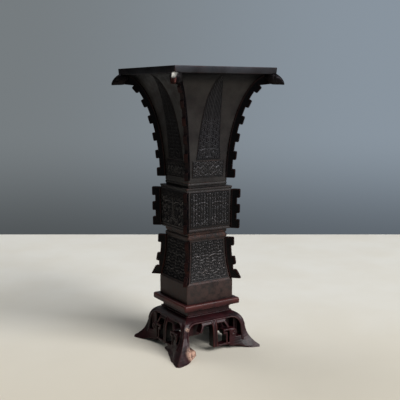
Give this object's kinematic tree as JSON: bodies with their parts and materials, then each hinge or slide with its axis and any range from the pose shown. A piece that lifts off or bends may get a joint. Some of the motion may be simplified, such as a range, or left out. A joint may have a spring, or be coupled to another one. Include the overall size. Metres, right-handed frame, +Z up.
{
  "type": "square flower vase on a stand",
  "caption": "Square bronze beaker vase with a trumpet mouth and notched corner flanges, seated on a pierced hardwood stand with splayed legs; it holds flowers or stands as an ornament.",
  "frame": {"origin": "centre of the stand's footprint, on the floor", "axes": "+Z up along the vase's axis; -Y is the front, the face at the right in the picture"},
  "size_m": [0.1268, 0.1268, 0.282],
  "materials": {
    "bronze": "dark brown-black patina, rubbed to a reddish copper brown on edges",
    "bronze_base": "as-cast bronze with a thin brown patina",
    "wood": "polished dark red-brown hardwood, worn lighter on edges and toes"
  },
  "bodies": {
    "stand": {"seat_panel": "wood", "top_rail_front": "wood", "top_rail_right": "wood", "top_rail_back": "wood", "top_rail_left": "wood", "waist_strip_front": "wood", "waist_strip_right": "wood", "waist_strip_back": "wood", "waist_strip_left": "wood", "apron_front": "wood", "apron_right": "wood", "apron_back": "wood", "apron_left": "wood", "leg_front_right": "wood", "leg_back_right": "wood", "leg_back_left": "wood", "leg_front_left": "wood", "fret_front_right": "wood", "fret_right_front": "wood", "fret_right_back": "wood", "fret_back_right": "wood", "fret_back_left": "wood", "fret_left_back": "wood", "fret_left_front": "wood"},
    "vase": {"foot_casting": "bronze", "base_plate": "bronze_base", "knop_casting": "bronze", "neck_casting": "bronze", "mouth_rim": "bronze", "foot_flange_front_right": "bronze", "foot_flange_back_right": "bronze", "foot_flange_back_left": "bronze", "foot_flange_front_left": "bronze", "knop_flange_front_right": "bronze", "knop_flange_back_right": "bronze", "knop_flange_back_left": "bronze", "knop_flange_front_left": "bronze", "neck_flange_front_right": "bronze", "neck_flange_back_right": "bronze", "neck_flange_back_left": "bronze", "neck_flange_front_left": "bronze"}
  },
  "joints": [
    {"name": "vase_lift", "type": "slide", "parent": "stand", "child": "vase", "axis": [0, 0, 1], "range_m": [0, 0.1]}
  ]
}
